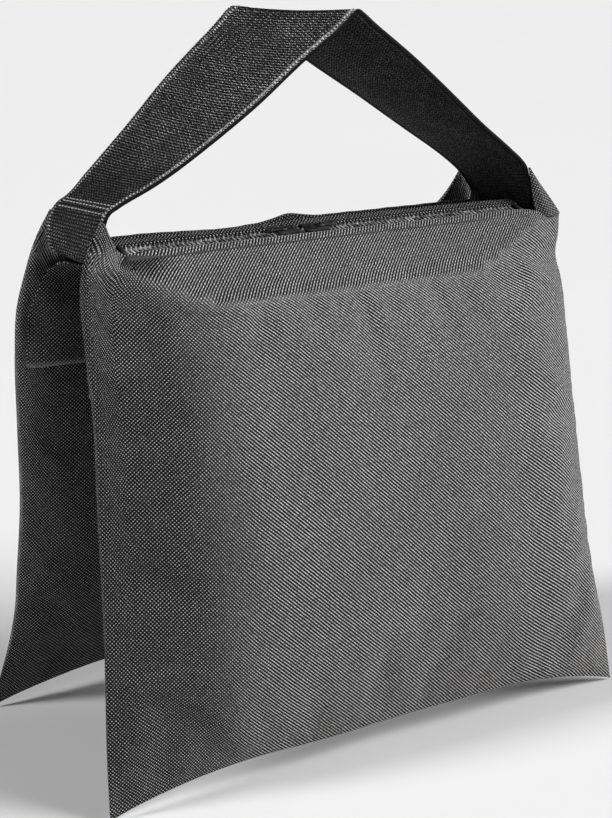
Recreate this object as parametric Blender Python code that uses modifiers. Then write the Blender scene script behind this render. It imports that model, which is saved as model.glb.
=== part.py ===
"""Saddle sandbag for studio stands, in metres, +Z up, standing as an inverted V.

X runs along the bag, the front pouch is at -Y and the origin is on the floor under the middle.
The bag is the same turned half a turn about Z, so each rear piece shares its mesh with a front one.
"""
import bmesh
import bpy
from math import asin, cos, pi, radians, sin
from mathutils import Matrix, Vector

GAP = 0.0003                 # clearance between touching pieces
CLOTH = 0.0009               # coated polyester, doubled at the seams

# Pouches: panels that meet in a seam at the sides and bottom and hang from a swing line
FOOT_SPREAD = 0.069          # middle of the bag to a bottom seam
SWING_Y = 0.030              # middle of the bag to a swing line
POUCH_HEIGHT = 0.2412        # swing line to bottom corners, along the pouch
FOOT_HALF_WIDTH = 0.1435
WAIST_HALF_WIDTH = 0.131
BOTTOM_BOW = 0.0105          # how far the fill lifts the middle of the bottom seam
OUTER_BELLY = 0.024
INNER_BELLY = 0.020
LEAN = asin((FOOT_SPREAD - SWING_Y) / POUCH_HEIGHT)
SEAM_OFFSET = (GAP + CLOTH) / 2
SWING_Z = POUCH_HEIGHT * cos(LEAN) + (SEAM_OFFSET + CLOTH / 2) * sin(LEAN)
PANEL_TOP = 0.0006           # panel edge below the swing line

# Bridge flaps sewn to the inner panels
FLAP_HALF_WIDTH = 0.121
FLAP_LIFT = 0.0022           # middle of the inner panel's cloth to the middle of the flap's
FLAP_TOP = 0.013             # below the swing line
FLAP_BOTTOM = 0.055
FLAP_STITCH_ROWS = {"upper": 0.0265, "lower": 0.0355}
THREAD_RADIUS = 0.0004

# Liner bags and their fill
LINER_SIZE = (0.212, 0.036, 0.172)
LINER_MIDDLE = 0.132         # below the swing line
LINER_CLOTH = 0.0006
MOUTH_SQUEEZE = 0.25
SIDE_SQUEEZE = 0.35
BOTTOM_SQUEEZE = 0.45
SAND_SIZE = (0.196, 0.029, 0.142)
SAND_MIDDLE = 0.141
SEAL_SIZE = (0.150, 0.0022, 0.012)
SEAL_MIDDLE = 0.0385

# Webbing: a strap of one width that makes the handle and the saddle run
WEB_HALF_WIDTH = 0.025
WEB_THICKNESS = 0.0022
CREASE_X = 0.1148
CREASE_Z = 0.2590
HEEL_X = 0.1186              # widest point of the strap, just above its bend
HEEL_RADIUS = 0.008
SADDLE_Z = 0.2322            # middle of the strap's horizontal run
HANDLE_END_X = 0.1120
HANDLE_END_Z = 0.2612
APEX_X = 0.0155              # the fold at the top crosses the strap on the skew
APEX_Z = 0.3398
APEX_RADIUS = 0.006
HANDLE_AXIS_Z = 0.262
BRIDGE_HALF_LENGTH = 0.108
BRIDGE_HALF_WIDTH = 0.0245

# Corners: cloth drawn up from the pouch to the strap
CORNER_OUTLINE = ((-0.1345, 0.0), (-0.1110, 0.0), (-0.1145, 0.0165), (-0.1205, 0.0165))
CORNER_BOTTOM_Z = 0.2398
CORNER_Y = 0.0300
CORNER_TILT = radians(11)

# Zips: coil halves on two tapes, closed by two sliders that meet nose to nose
ZIP_Y = 0.0245
ZIP_Z = 0.2415
ZIP_TILT = radians(15)
ZIP_HALF_LENGTH = 0.109
TAPE_INSIDE = 0.0041
TAPE_OUTSIDE = 0.0085
TAPE_THICKNESS = 0.0007
HEM_INSIDE = 0.0052
HEM_THICKNESS = 0.0010
COIL_WIDTH = 0.0030
COIL_THICKNESS = 0.0022
COIL_MIDDLE = 0.0023
COIL_HALF_LENGTH = 0.1065
STOP_SIZE = (0.0018, 0.0076, 0.0030)
STRIP_DEPTH = 0.0074
MEETING_X = -0.017
SLIDER_SIZE = (0.0125, 0.0092, 0.0012)
SLIDER_SPACING = 0.0075      # meeting point to each slider's middle
PLATE_CLEARANCE = 0.0003
POST_SIZE = (0.0040, 0.0010, 0.0034)
POST_FORWARD = 0.0035
CROWN_HALF_SPAN = 0.0030
CROWN_HEIGHT = 0.0025
CROWN_RADIUS = 0.0005
TAB_LENGTH = 0.0125
TAB_HALF_WIDTH = 0.0025
TAB_EYE = (0.0004, 0.0046, 0.0016)
TAB_THICKNESS = 0.0008
TAB_AXIS_ABOVE_PLATE = 0.00115
PLATE_TOP = COIL_THICKNESS / 2 + PLATE_CLEARANCE + SLIDER_SIZE[2]

COLOURS = {
    "body_cloth": ((0.085, 0.086, 0.089), 0.85, 0.0),
    "webbing": ((0.014, 0.014, 0.015), 0.70, 0.0),
    "zip_tape": ((0.030, 0.030, 0.031), 0.85, 0.0),
    "zip_coil": ((0.018, 0.018, 0.019), 0.40, 0.0),
    "zip_metal": ((0.022, 0.022, 0.024), 0.35, 1.0),
    "thread": ((0.025, 0.025, 0.026), 0.70, 0.0),
    "liner_film": ((0.180, 0.180, 0.185), 0.45, 0.0),
    "hook_strip": ((0.020, 0.020, 0.020), 0.90, 0.0),
    "sand": ((0.520, 0.430, 0.300), 0.95, 0.0),
}


# ---------------------------------------------------------------- scene helpers

def clear_scene():
    for obj in list(bpy.data.objects):
        bpy.data.objects.remove(obj, do_unlink=True)


def new_collection(name):
    collection = bpy.data.collections.new(name)
    bpy.context.scene.collection.children.link(collection)
    return collection


def finish(name, finish_name):
    """A material of the named piece's own, in one of the listed finishes."""
    colour, roughness, metallic = COLOURS[finish_name]
    material = bpy.data.materials.new(name + "_" + finish_name)
    material.use_nodes = True
    shader = material.node_tree.nodes["Principled BSDF"]
    shader.inputs["Base Color"].default_value = (*colour, 1.0)
    shader.inputs["Roughness"].default_value = roughness
    shader.inputs["Metallic"].default_value = metallic
    return material


def empty(name, location, rotation=(0, 0, 0), parent=None):
    marker = bpy.data.objects.new(name, None)
    marker.location = location
    marker.rotation_euler = rotation
    marker.parent = parent
    marker.empty_display_size = 0.02
    GUIDES.objects.link(marker)
    return marker


def place(name, data, finish_name, parent=None, location=(0, 0, 0), rotation=(0, 0, 0)):
    obj = bpy.data.objects.new(name, data)
    obj.parent = parent
    obj.location = location
    obj.rotation_euler = rotation
    if not data.materials:
        data.materials.append(None)
    obj.material_slots[0].link = "OBJECT"
    obj.material_slots[0].material = finish(name, finish_name)
    BAG.objects.link(obj)
    return obj


def mesh_from(name, work):
    """A mesh datablock that the given function fills through a bmesh."""
    mesh = bpy.data.meshes.new(name)
    bm = bmesh.new()
    work(bm)
    bm.to_mesh(mesh)
    bm.free()
    mesh.shade_smooth()
    mesh.set_sharp_from_angle(angle=radians(40))
    return mesh


def thicken(obj, thickness, offset=0.0):
    solid = obj.modifiers.new("Thickness", "SOLIDIFY")
    solid.thickness = thickness
    solid.offset = offset
    return obj


def soften(obj, levels):
    subdivision = obj.modifiers.new("Soft", "SUBSURF")
    subdivision.levels = levels
    subdivision.render_levels = levels
    return obj


def box_mesh(name, size, middle=(0, 0, 0)):
    def work(bm):
        bmesh.ops.create_cube(bm, size=1.0)
        bmesh.ops.scale(bm, vec=size, verts=bm.verts)
        bmesh.ops.translate(bm, vec=middle, verts=bm.verts)
    return mesh_from(name, work)


def sheet_mesh(name, columns, rows, surface):
    """A grid laid on surface(u, v), with u from -1 to 1 and v from 0 to 1."""
    def work(bm):
        bmesh.ops.create_grid(bm, x_segments=columns, y_segments=rows, size=1.0)
        for vert in bm.verts:
            vert.co = surface(vert.co.x, (vert.co.y + 1) / 2)
    return mesh_from(name, work)


def ribbon_mesh(name, near_edge, far_edge):
    """A strap lofted between its two edges, which have the same number of points."""
    def work(bm):
        rows = [[bm.verts.new(point) for point in edge] for edge in (near_edge, far_edge)]
        for i in range(len(near_edge) - 1):
            bm.faces.new((rows[0][i], rows[0][i + 1], rows[1][i + 1], rows[1][i]))
    return mesh_from(name, work)


def bar_data(name, points, radius, resolution=1):
    """A thin round bar through the points."""
    curve = bpy.data.curves.new(name, "CURVE")
    curve.dimensions = "3D"
    curve.bevel_depth = radius
    curve.bevel_resolution = resolution
    curve.use_fill_caps = True
    spline = curve.splines.new("POLY")
    spline.points.add(len(points) - 1)
    for target, point in zip(spline.points, points):
        target.co = (*point, 1.0)
    return curve


def outline_data(name, loops, thickness):
    """A flat plate with the given closed outlines, the later ones being holes."""
    curve = bpy.data.curves.new(name, "CURVE")
    curve.dimensions = "2D"
    curve.fill_mode = "BOTH"
    curve.extrude = thickness / 2
    for loop in loops:
        spline = curve.splines.new("POLY")
        spline.points.add(len(loop) - 1)
        spline.use_cyclic_u = True
        for target, point in zip(spline.points, loop):
            target.co = (point[0], point[1], 0.0, 1.0)
    return curve


def fillet(start, corner, end, radius, steps):
    """Points of the round that replaces a corner."""
    to_start = (start - corner).normalized()
    to_end = (end - corner).normalized()
    half_angle = to_start.angle(to_end) / 2
    centre = corner + (to_start + to_end).normalized() * (radius / sin(half_angle))
    reach = radius * cos(half_angle) / sin(half_angle)
    arm_start = corner + to_start * reach - centre
    arm_end = corner + to_end * reach - centre
    return [centre + radius * arm_start.slerp(arm_end, i / steps) for i in range(steps + 1)]


def straight(start, end, pieces):
    """Points along a straight run, without its last one."""
    return [start.lerp(end, i / pieces) for i in range(pieces)]


def union(target, tool):
    """Joins a cutter object into the target."""
    tool.hide_render = True
    tool.display_type = "WIRE"
    joint = target.modifiers.new("Join " + tool.name, "BOOLEAN")
    joint.operation = "UNION"
    joint.object = tool


def guide(name, data, parent):
    obj = bpy.data.objects.new(name, data)
    obj.parent = parent
    GUIDES.objects.link(obj)
    return obj


def bar_as_mesh(name, points, radius, parent):
    """A bar turned into a closed mesh, for a Boolean."""
    source = bpy.data.objects.new(name + "_curve", bar_data(name, points, radius, 2))
    GUIDES.objects.link(source)
    graph = bpy.context.evaluated_depsgraph_get()
    mesh = bpy.data.meshes.new_from_object(source.evaluated_get(graph))
    bm = bmesh.new()
    bm.from_mesh(mesh)
    bmesh.ops.remove_doubles(bm, verts=bm.verts, dist=1e-6)
    bm.to_mesh(mesh)
    bm.free()
    bpy.data.objects.remove(source, do_unlink=True)
    return guide(name, mesh, parent)


# ---------------------------------------------------------------- pouches

def half_width(v):
    return WAIST_HALF_WIDTH + (FOOT_HALF_WIDTH - WAIST_HALF_WIDTH) * (1 - v) ** 2.2


def bulge(u, v):
    """Share of the full belly at a place on a panel: nothing at the seams, one in the middle."""
    across = max(0.0, 1 - abs(u) ** 2.6) ** 0.7
    upward = max(0.0, sin(pi * min(1.0, v) ** 0.85)) ** 0.75
    return across * upward


def panel_height(u, v):
    lift = BOTTOM_BOW * (1 - abs(u) ** 5) * (1 - v) ** 2
    return -POUCH_HEIGHT + (POUCH_HEIGHT - PANEL_TOP) * v + lift


def outer_surface(u, v):
    return (u * half_width(v), -SEAM_OFFSET - OUTER_BELLY * bulge(u, v), panel_height(u, v))


def inner_surface(u, v):
    return (u * half_width(v), SEAM_OFFSET + INNER_BELLY * bulge(u, v), panel_height(u, v))


def on_flap(x, below, lift):
    """A place on the inner panel, a given distance below the swing line and off its cloth."""
    v = 1 - (below - PANEL_TOP) / (POUCH_HEIGHT - PANEL_TOP)
    u = x / half_width(v)
    return (x, inner_surface(u, v)[1] + lift, -below)


def flap_surface(u, v):
    below = FLAP_BOTTOM + (FLAP_TOP - FLAP_BOTTOM) * v
    return on_flap(u * FLAP_HALF_WIDTH, below, FLAP_LIFT)


def flap_stitch(name, below):
    reach = FLAP_HALF_WIDTH - 0.004
    count = 16
    lift = FLAP_LIFT + CLOTH / 2 + 2 * GAP + THREAD_RADIUS
    points = [on_flap(reach * (2 * i / count - 1), below, lift) for i in range(count + 1)]
    return bar_data(name, points, THREAD_RADIUS)


def cage_mesh(name, size, middle_z, open_top):
    """A box cut once each way and squeezed to a pillow's cage, to be subdivided."""
    def work(bm):
        bmesh.ops.create_cube(bm, size=1.0)
        bmesh.ops.subdivide_edges(bm, edges=bm.edges, cuts=1, use_grid_fill=True)
        if open_top:
            faces = [face for face in bm.faces if all(vert.co.z > 0.49 for vert in face.verts)]
            bmesh.ops.delete(bm, geom=faces, context="FACES")
        for vert in bm.verts:
            vert.co.y *= SIDE_SQUEEZE if abs(vert.co.x) > 0.49 else 1.0
            vert.co.y *= BOTTOM_SQUEEZE if vert.co.z < -0.49 else 1.0
            vert.co.y *= MOUTH_SQUEEZE if vert.co.z > 0.49 else 1.0
        bmesh.ops.scale(bm, vec=size, verts=bm.verts)
        bmesh.ops.translate(bm, vec=(0, 0, middle_z), verts=bm.verts)
    return mesh_from(name, work)


def pouch_meshes():
    stitches = {row: flap_stitch("flap_stitch_" + row, below)
                for row, below in FLAP_STITCH_ROWS.items()}
    return {
        "outer_panel": sheet_mesh("outer_panel", 16, 14, outer_surface),
        "inner_panel": sheet_mesh("inner_panel", 16, 14, inner_surface),
        "bridge_flap": sheet_mesh("bridge_flap", 14, 4, flap_surface),
        "stitches": stitches,
        "liner": cage_mesh("liner", LINER_SIZE, -LINER_MIDDLE, True),
        "sand": cage_mesh("sand", SAND_SIZE, -SAND_MIDDLE, False),
        "seal": box_mesh("seal", SEAL_SIZE, (0, 0, -SEAL_MIDDLE)),
    }


def build_pouch(side, turn, meshes):
    y = -SWING_Y * cos(turn)
    pivot = empty(side + "_pouch_swing", (0, y, SWING_Z), (-LEAN, 0, turn))
    thicken(place(side + "_outer_panel", meshes["outer_panel"], "body_cloth", pivot), CLOTH)
    thicken(place(side + "_inner_panel", meshes["inner_panel"], "body_cloth", pivot), CLOTH)
    thicken(place(side + "_bridge_flap", meshes["bridge_flap"], "body_cloth", pivot), CLOTH)
    for row, data in meshes["stitches"].items():
        place(side + "_flap_" + row + "_stitch", data, "thread", pivot)
    liner = place(side + "_liner_bag", meshes["liner"], "liner_film", pivot)
    thicken(soften(liner, 1), LINER_CLOTH)
    soften(place(side + "_sand_fill", meshes["sand"], "sand", pivot), 1)
    place(side + "_liner_seal", meshes["seal"], "hook_strip", pivot)


# ---------------------------------------------------------------- webbing and bridge

def saddle_path(y):
    """The strap from one crease, round the heels and along the saddle, to the other crease."""
    crease = Vector((CREASE_X, y, CREASE_Z))
    heel = Vector((HEEL_X, y, SADDLE_Z))
    middle = Vector((0, y, SADDLE_Z))
    half = straight(crease, heel, 3)[:2] + fillet(crease, heel, middle, HEEL_RADIUS, 6)
    other = [Vector((-point.x, point.y, point.z)) for point in half]
    return other + [middle] + half[::-1]


def handle_near_edge():
    left = Vector((-HANDLE_END_X, -WEB_HALF_WIDTH, HANDLE_END_Z))
    apex = Vector((APEX_X, -WEB_HALF_WIDTH, APEX_Z))
    right = Vector((HANDLE_END_X, -WEB_HALF_WIDTH, HANDLE_END_Z))
    round_points = fillet(left, apex, right, APEX_RADIUS, 4)
    rising = straight(left, round_points[0], 6)
    falling = straight(right, round_points[-1], 6)
    return rising + round_points + falling[::-1]


def build_webbing():
    mesh = ribbon_mesh("saddle_webbing", saddle_path(-WEB_HALF_WIDTH), saddle_path(WEB_HALF_WIDTH))
    thicken(place("saddle_webbing", mesh, "webbing"), WEB_THICKNESS)
    near = handle_near_edge()
    half_turn = Matrix.Rotation(pi, 3, "Z")
    far = [half_turn @ point for point in reversed(near)]
    axis = empty("handle_swing", (0, 0, HANDLE_AXIS_Z))
    drop = Vector((0, 0, HANDLE_AXIS_Z))
    mesh = ribbon_mesh("handle_webbing", [p - drop for p in near], [p - drop for p in far])
    thicken(place("handle_webbing", mesh, "webbing", axis), WEB_THICKNESS)


def build_bridge():
    bottom = SADDLE_Z - WEB_THICKNESS / 2 - GAP - CLOTH / 2
    size = (2 * BRIDGE_HALF_LENGTH, 2 * BRIDGE_HALF_WIDTH, CLOTH)
    place("bridge_panel", box_mesh("bridge_panel", size), "body_cloth", location=(0, 0, bottom))


def build_end_stitches():
    """One row of thread across each crease of the strap."""
    reach = WEB_HALF_WIDTH - 0.002
    data = bar_data("end_stitch", [(0, -reach, 0), (0, reach, 0)], THREAD_RADIUS)
    x = CREASE_X + WEB_THICKNESS / 2 + GAP + 2 * THREAD_RADIUS
    for side, sign in (("left", -1), ("right", 1)):
        place(side + "_crease_stitch", data, "thread", location=(sign * x, 0, CREASE_Z - 0.002))


def build_corners():
    mirrored = [(-x, y) for x, y in reversed(CORNER_OUTLINE)]
    left = outline_data("corner_left", [CORNER_OUTLINE], CLOTH)
    right = outline_data("corner_right", [mirrored], CLOTH)
    for side, turn in (("front", 0.0), ("rear", pi)):
        y = -CORNER_Y * cos(turn)
        frame = empty(side + "_corners", (0, y, CORNER_BOTTOM_Z), (pi / 2 - CORNER_TILT, 0, turn))
        names = ("left", "right") if side == "front" else ("right", "left")
        place(side + "_" + names[0] + "_corner", left, "body_cloth", frame)
        place(side + "_" + names[1] + "_corner", right, "body_cloth", frame)


# ---------------------------------------------------------------- zips

def slider_mesh(frame):
    """Two plates joined by a post between the coil halves, with a crown for the pull tab."""
    plate_z = PLATE_TOP - SLIDER_SIZE[2] / 2
    body = place("slider_pattern", box_mesh("slider_pattern", SLIDER_SIZE, (0, 0, plate_z)),
                 "zip_metal", frame)
    lower = guide("slider_lower", box_mesh("slider_lower", SLIDER_SIZE, (0, 0, -plate_z)), frame)
    post_box = box_mesh("slider_post", POST_SIZE, (POST_FORWARD, 0, 0))
    post = guide("slider_post", post_box, frame)
    low = PLATE_TOP - 0.0004
    high = PLATE_TOP + CROWN_HEIGHT
    shoulder = CROWN_HALF_SPAN - 0.0012
    arch = [(-CROWN_HALF_SPAN, 0, low), (-CROWN_HALF_SPAN, 0, high - 0.0009),
            (-shoulder, 0, high), (shoulder, 0, high),
            (CROWN_HALF_SPAN, 0, high - 0.0009), (CROWN_HALF_SPAN, 0, low)]
    crown = bar_as_mesh("slider_crown", arch, CROWN_RADIUS, frame)
    for tool in (post, lower, crown):
        union(body, tool)
    graph = bpy.context.evaluated_depsgraph_get()
    mesh = bpy.data.meshes.new_from_object(body.evaluated_get(graph))
    for obj in (body, lower, post, crown):
        bpy.data.objects.remove(obj, do_unlink=True)
    mesh.name = "slider"
    return mesh


def tab_outline():
    """A long plate with a rounded far end and an eye for the crown."""
    steps = 6
    middle = TAB_LENGTH - TAB_HALF_WIDTH
    outer = [(-TAB_EYE[0], -TAB_HALF_WIDTH)]
    for i in range(steps + 1):
        angle = -pi / 2 + pi * i / steps
        outer.append((middle + TAB_HALF_WIDTH * cos(angle), TAB_HALF_WIDTH * sin(angle)))
    outer.append((-TAB_EYE[0], TAB_HALF_WIDTH))
    near, far, half = TAB_EYE
    eye = [(near, -half), (near, half), (far, half), (far, -half)]
    return [outer, eye]


def zip_meshes(frame):
    length = 2 * ZIP_HALF_LENGTH
    tape_width = TAPE_OUTSIDE - TAPE_INSIDE
    hem_width = TAPE_OUTSIDE - HEM_INSIDE
    strip_z = -TAPE_THICKNESS / 2 - GAP - STRIP_DEPTH / 2
    return {
        "tape": box_mesh("zip_tape", (length, tape_width, TAPE_THICKNESS)),
        "hem": box_mesh("zip_hem", (length, hem_width, HEM_THICKNESS)),
        "coil": bar_data("zip_coil", [(-COIL_HALF_LENGTH, 0, 0), (COIL_HALF_LENGTH, 0, 0)],
                         COIL_THICKNESS / 2, 2),
        "stop": box_mesh("zip_stop", STOP_SIZE),
        "strip": box_mesh("inner_strip", (length, HEM_THICKNESS, STRIP_DEPTH), (0, 0, strip_z)),
        "slider": slider_mesh(frame),
        "tab": outline_data("pull_tab", tab_outline(), TAB_THICKNESS),
    }


def build_zip(side, turn, frame, meshes):
    tape_y = (TAPE_INSIDE + TAPE_OUTSIDE) / 2
    hem_y = (HEM_INSIDE + TAPE_OUTSIDE) / 2
    hem_z = TAPE_THICKNESS / 2 + GAP + HEM_THICKNESS / 2
    for part, sign in (("outer", -1), ("inner", 1)):
        place(side + "_zip_" + part + "_tape", meshes["tape"], "zip_tape", frame,
              (0, sign * tape_y, 0))
        place(side + "_zip_" + part + "_hem", meshes["hem"], "body_cloth", frame,
              (0, sign * hem_y, hem_z))
        place(side + "_zip_" + part + "_coil", meshes["coil"], "zip_coil", frame,
              (0, sign * COIL_MIDDLE, 0))
    place(side + "_inner_strip", meshes["strip"], "body_cloth", frame,
          (0, TAPE_OUTSIDE - HEM_THICKNESS, 0))
    stop_x = COIL_HALF_LENGTH + GAP + STOP_SIZE[0] / 2
    front = turn == 0.0
    for part, sign in (("left", -1), ("right", 1)):
        word = part if front else {"left": "right", "right": "left"}[part]
        place(side + "_zip_" + word + "_stop", meshes["stop"], "zip_metal", frame,
              (sign * stop_x, 0, 0))
        x = MEETING_X + sign * SLIDER_SPACING
        heading = pi if sign > 0 else 0.0
        carriage = empty(side + "_" + word + "_slide", (x, 0, 0), (0, 0, heading), frame)
        place(side + "_" + word + "_slider", meshes["slider"], "zip_metal", carriage)
        hinge = empty(side + "_" + word + "_tab_hinge",
                      (0, 0, PLATE_TOP + TAB_AXIS_ABOVE_PLATE), (0, 0, pi), carriage)
        place(side + "_" + word + "_pull_tab", meshes["tab"], "zip_metal", hinge)


def build_zips():
    frames = {}
    for side, turn in (("front", 0.0), ("rear", pi)):
        y = -ZIP_Y * cos(turn)
        frames[side] = empty(side + "_zip_line", (0, y, ZIP_Z), (ZIP_TILT, 0, turn))
    meshes = zip_meshes(frames["front"])
    build_zip("front", 0.0, frames["front"], meshes)
    build_zip("rear", pi, frames["rear"], meshes)


def build():
    pouch = pouch_meshes()
    build_pouch("front", 0.0, pouch)
    build_pouch("rear", pi, pouch)
    build_webbing()
    build_bridge()
    build_end_stitches()
    build_corners()
    build_zips()
    bpy.context.view_layer.update()


clear_scene()
BAG = new_collection("sandbag")
GUIDES = new_collection("guides")
build()
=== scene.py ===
"""Saddle sandbag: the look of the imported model, in cloth, webbing and zips. Shapes are in millimetres."""
from math import cos, pi, radians, sin
import bmesh
import bpy
import numpy as np
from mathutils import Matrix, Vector, noise
from mathutils.bvhtree import BVHTree
from mathutils.kdtree import KDTree


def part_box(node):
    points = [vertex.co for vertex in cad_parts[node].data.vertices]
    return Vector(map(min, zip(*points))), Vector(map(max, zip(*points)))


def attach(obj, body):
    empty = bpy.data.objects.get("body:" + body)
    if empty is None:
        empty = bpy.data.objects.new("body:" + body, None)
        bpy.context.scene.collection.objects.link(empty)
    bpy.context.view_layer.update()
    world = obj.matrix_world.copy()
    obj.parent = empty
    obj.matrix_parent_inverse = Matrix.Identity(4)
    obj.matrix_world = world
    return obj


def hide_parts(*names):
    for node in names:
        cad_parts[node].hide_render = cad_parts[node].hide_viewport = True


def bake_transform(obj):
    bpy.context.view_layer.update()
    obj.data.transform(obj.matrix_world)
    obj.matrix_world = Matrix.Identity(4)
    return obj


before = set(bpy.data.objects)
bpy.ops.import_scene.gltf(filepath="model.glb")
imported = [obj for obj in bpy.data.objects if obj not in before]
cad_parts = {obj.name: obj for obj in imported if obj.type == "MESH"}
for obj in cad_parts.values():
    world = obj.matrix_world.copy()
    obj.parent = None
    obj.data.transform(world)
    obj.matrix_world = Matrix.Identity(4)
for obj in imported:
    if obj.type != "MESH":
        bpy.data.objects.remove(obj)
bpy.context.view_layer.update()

MM = 0.001
X_AXIS, _, Z_AXIS = np.eye(3)
SIDES, ENDS = ("front", "rear"), ("left", "right")
SIDE_SIGN = {"front": -1.0, "rear": 1.0}   # which way a side lies from the bag's middle, along y
SHARP_ANGLE = radians(40)

# ---------------------------------------------------------------- camera, light and floor

CAMERA_PLACE = (-0.456, -0.724, 0.389)
CAMERA_TURN = radians(-32.28)
CAMERA_DROP = radians(15.64)

camera_data = bpy.data.cameras.new("camera")
camera_data.lens = 80.8
camera_data.sensor_width = 36.0
camera_data.clip_start = 0.05
camera_data.clip_end = 60.0
camera = bpy.data.objects.new("camera", camera_data)
camera.location = CAMERA_PLACE
camera.rotation_euler = (pi / 2 - CAMERA_DROP, 0.0, CAMERA_TURN)
bpy.context.scene.collection.objects.link(camera)
bpy.context.scene.camera = camera
bpy.context.scene.view_settings.view_transform = "Standard"
bpy.context.scene.view_settings.look = "None"


# ---------------------------------------------------------------- small tools

def link(obj):
    bpy.context.scene.collection.objects.link(obj)
    return obj


def spline(knots, values, at):
    """Smooth curve through the values at the knots, read at the given places."""
    knots = np.asarray(knots, float)
    values = np.asarray(values, float)
    at = np.clip(np.asarray(at, float), knots[0], knots[-1])
    flat = values.reshape(len(knots), -1)
    steps = np.diff(knots)[:, None]
    slopes = np.diff(flat, axis=0) / steps
    tangents = np.empty_like(flat)
    tangents[0], tangents[-1] = slopes[0], slopes[-1]
    tangents[1:-1] = (slopes[:-1] * steps[1:] + slopes[1:] * steps[:-1]) / (steps[1:] + steps[:-1])
    index = np.clip(np.searchsorted(knots, at.ravel(), side="right") - 1, 0, len(knots) - 2)
    width = steps[index]
    t = ((at.ravel() - knots[index])[:, None]) / width
    out = ((2 * t**3 - 3 * t**2 + 1) * flat[index] + (t**3 - 2 * t**2 + t) * width * tangents[index]
           + (3 * t**2 - 2 * t**3) * flat[index + 1] + (t**3 - t**2) * width * tangents[index + 1])
    return out.reshape(at.shape + values.shape[1:])


def bell(x, middle, width):
    return np.exp(-((np.asarray(x, float) - middle) / width) ** 2)


def grid_faces(rows, columns, offset=0, flip=False):
    faces = []
    for i in range(rows - 1):
        for j in range(columns - 1):
            a = offset + i * columns + j
            face = (a, a + 1, a + columns + 1, a + columns)
            faces.append(face[::-1] if flip else face)
    return faces


def mesh_piece(name, points, faces, material, cloth=None, merge=0.0, hatch_and_shade=None):
    """A mesh object from points in millimetres; cloth holds each point's place in the flat fabric."""
    mesh = bpy.data.meshes.new(name)
    mesh.from_pydata([tuple(p * MM for p in point) for point in np.asarray(points).reshape(-1, 3)], [], faces)
    if cloth is not None:
        flat = mesh.attributes.new("cloth", "FLOAT_VECTOR", "POINT")
        flat.data.foreach_set("vector", np.asarray(cloth, np.float32).ravel())
    if hatch_and_shade is not None:
        lines = mesh.attributes.new("hatch_and_shade", "FLOAT_VECTOR", "POINT")
        lines.data.foreach_set("vector", np.asarray(hatch_and_shade, np.float32).ravel())
    if merge:
        bm = bmesh.new()
        bm.from_mesh(mesh)
        bmesh.ops.remove_doubles(bm, verts=bm.verts, dist=merge * MM)
        bmesh.ops.dissolve_degenerate(bm, edges=bm.edges, dist=merge * MM * 0.1)
        bm.to_mesh(mesh)
        bm.free()
    mesh.shade_smooth()
    mesh.materials.append(material)
    return link(bpy.data.objects.new(name, mesh))


def flat_places(points):
    """Distance along the rows and columns of a grid of points, from the middle of the first row."""
    points = np.asarray(points)
    across = np.zeros(points.shape[:2])
    across[:, 1:] = np.cumsum(np.linalg.norm(np.diff(points, axis=1), axis=2), axis=1)
    across -= across[:, points.shape[1] // 2][:, None]
    along = np.zeros(points.shape[:2])
    along[1:] = np.cumsum(np.linalg.norm(np.diff(points, axis=0), axis=2), axis=0)
    return np.stack([across, along, np.zeros_like(across)], axis=2)


def subdivide(obj, levels=1):
    modifier = obj.modifiers.new("Soft", "SUBSURF")
    modifier.levels = modifier.render_levels = levels
    return obj


def thicken(obj, thickness, offset=0.0):
    modifier = obj.modifiers.new("Thickness", "SOLIDIFY")
    modifier.thickness = thickness * MM
    modifier.offset = offset
    return obj


def applied(obj):
    """Applies all modifiers of a piece."""
    graph = bpy.context.evaluated_depsgraph_get()
    mesh = bpy.data.meshes.new_from_object(obj.evaluated_get(graph))
    obj.modifiers.clear()
    obj.data = mesh
    return obj


def face_outwards(obj):
    """Turns the faces of a closed piece to look outwards."""
    bm = bmesh.new()
    bm.from_mesh(obj.data)
    bmesh.ops.recalc_face_normals(bm, faces=bm.faces)
    bm.to_mesh(obj.data)
    bm.free()


# ---------------------------------------------------------------- materials

def grey(value):
    return value, value, value


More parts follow.
